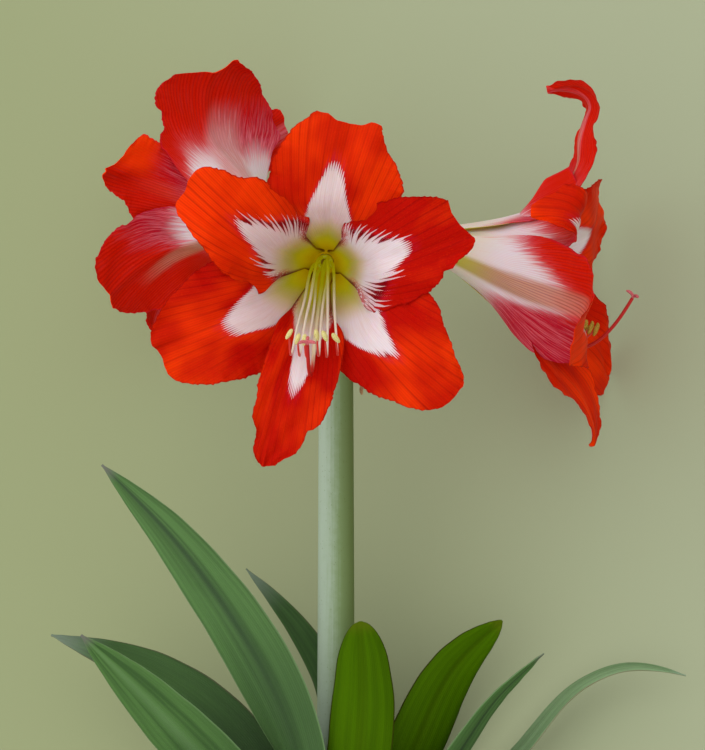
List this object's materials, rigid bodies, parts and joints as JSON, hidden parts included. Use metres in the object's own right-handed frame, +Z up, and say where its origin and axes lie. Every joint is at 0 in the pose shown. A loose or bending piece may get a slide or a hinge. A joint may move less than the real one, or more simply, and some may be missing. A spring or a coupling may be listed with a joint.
{
  "type": "amaryllis stem",
  "caption": "Flowering amaryllis lying on a surface: a thick bare stalk with large open red and white blooms at its head and strap leaves at its base.",
  "frame": {"origin": "on the surface that the plant lies on, under the middle of its outline seen from above", "axes": "+Z up from the surface, +Y along the lie of the stalk from the cut neck to the blooms, +X to the right of someone who looks that way"},
  "size_m": [0.3578, 0.5188, 0.2868],
  "materials": {
    "petal": "satin orange-red petal with a white star and a green throat",
    "stamen": "pale filaments that redden to their tips, with cream anthers",
    "style": "satin pink-red style",
    "stalk": "satin green ovary and flower stalk",
    "scape": "waxy grey-green stalk",
    "leaf": "waxy green leaf with fine lengthwise veins",
    "papery": "dry tan-brown papery tissue"
  },
  "bodies": {
    "root": {"scape": "scape", "neck_sleeve": "papery", "leaf_left_tall": "leaf", "leaf_left_low_front": "leaf", "leaf_left_low_back": "leaf", "leaf_behind_scape": "leaf", "leaf_front_blunt": "leaf", "leaf_right_broad": "leaf", "leaf_right_narrow": "leaf", "leaf_right_arching": "leaf", "front_pedicel": "stalk", "front_perianth": "petal", "front_stamens": "stamen", "front_style": "style", "right_pedicel": "stalk", "right_perianth": "petal", "right_stamens": "stamen", "right_style": "style", "left_pedicel": "stalk", "left_perianth": "petal", "left_stamens": "stamen", "left_style": "style", "bract_right": "papery", "bract_left": "papery"}
  },
  "joints": []
}
